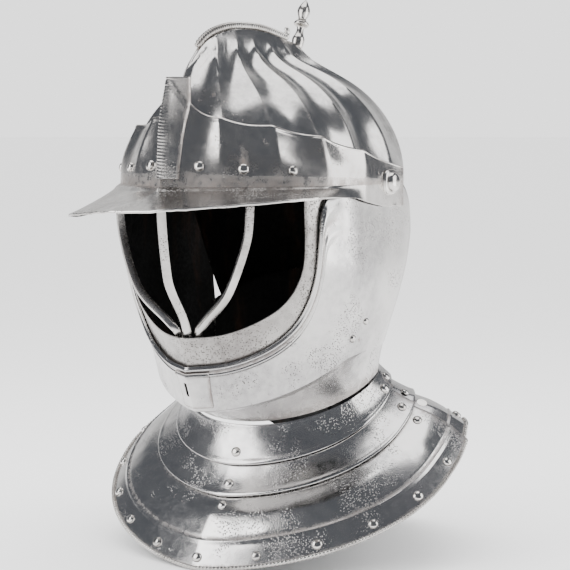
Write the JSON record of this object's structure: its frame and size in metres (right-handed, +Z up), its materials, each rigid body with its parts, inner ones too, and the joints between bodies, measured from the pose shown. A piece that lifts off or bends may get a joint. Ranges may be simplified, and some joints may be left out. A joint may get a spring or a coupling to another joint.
{
  "type": "cuirassier helmet",
  "caption": "Steel cuirassier helmet with a fluted combed skull, lifting peaked visor with face bars, opening bevor and gorget lames.",
  "frame": {"origin": "centre of the bounding box on the plane that the gorget rims stand on", "axes": "+Z up, the face looks along -Y, the wearer's left is +X"},
  "size_m": [0.308, 0.3506, 0.4442],
  "materials": {
    "skull_steel": "hammered and polished steel with fine pitting",
    "visor_steel": "hammered and polished steel with russet spots by the rivets",
    "grille_steel": "forged steel, duller and darker in the hollows",
    "bevor_steel": "polished steel with smoky stains and pitting",
    "gorget_steel": "polished steel lames with a filed roped rim",
    "rivet_steel": "bright domed rivet heads"
  },
  "bodies": {
    "skull_body": {"comb_roll": "skull_steel", "finial": "rivet_steel", "rear_lame_1": "gorget_steel", "rear_lame_2": "gorget_steel", "rear_plate": "gorget_steel", "rear_rim_rivet_1": "rivet_steel", "rear_rim_rivet_2": "rivet_steel", "rear_rim_rivet_3": "rivet_steel", "rear_rim_rivet_4": "rivet_steel", "rear_rim_rivet_5": "rivet_steel", "rear_side_rivet_left_1": "rivet_steel", "rear_side_rivet_left_2": "rivet_steel", "rear_side_rivet_left_3": "rivet_steel", "rear_side_rivet_right_1": "rivet_steel", "rear_side_rivet_right_2": "rivet_steel", "rear_side_rivet_right_3": "rivet_steel", "skull": "skull_steel"},
    "bevor_body": {"bevor": "bevor_steel", "cheek_rivet_left_1": "rivet_steel", "cheek_rivet_left_2": "rivet_steel", "cheek_rivet_right_1": "rivet_steel", "cheek_rivet_right_2": "rivet_steel", "chin_plate": "bevor_steel", "front_lame_1": "gorget_steel", "front_lame_2": "gorget_steel", "front_plate": "gorget_steel", "front_rim_rivet_1": "rivet_steel", "front_rim_rivet_10": "rivet_steel", "front_rim_rivet_11": "rivet_steel", "front_rim_rivet_2": "rivet_steel", "front_rim_rivet_3": "rivet_steel", "front_rim_rivet_4": "rivet_steel", "front_rim_rivet_5": "rivet_steel", "front_rim_rivet_6": "rivet_steel", "front_rim_rivet_7": "rivet_steel", "front_rim_rivet_8": "rivet_steel", "front_rim_rivet_9": "rivet_steel", "front_rivet_1": "rivet_steel", "front_rivet_2": "rivet_steel", "front_rivet_3": "rivet_steel", "front_side_rivet_left_1": "rivet_steel", "front_side_rivet_left_2": "rivet_steel", "front_side_rivet_left_3": "rivet_steel", "front_side_rivet_right_1": "rivet_steel", "front_side_rivet_right_2": "rivet_steel", "front_side_rivet_right_3": "rivet_steel"},
    "visor_body": {"bar_left": "grille_steel", "bar_middle": "grille_steel", "bar_right": "grille_steel", "brow_rivet_left_1": "rivet_steel", "brow_rivet_left_2": "rivet_steel", "brow_rivet_left_3": "rivet_steel", "brow_rivet_right_1": "rivet_steel", "brow_rivet_right_2": "rivet_steel", "brow_rivet_right_3": "rivet_steel", "face_frame": "grille_steel", "keel_plate": "visor_steel", "pivot_left": "rivet_steel", "pivot_right": "rivet_steel", "visor": "visor_steel"}
  },
  "joints": [
    {"name": "bevor_open", "type": "hinge", "parent": "skull_body", "child": "bevor_body", "pos_m": [0, 0.0258, 0.2979], "axis": [-1, 0, 0], "range_deg": [0, 30]},
    {"name": "visor_lift", "type": "hinge", "parent": "bevor_body", "child": "visor_body", "pos_m": [0, 0.0258, 0.2979], "axis": [-1, 0, 0], "range_deg": [0, 45]}
  ]
}
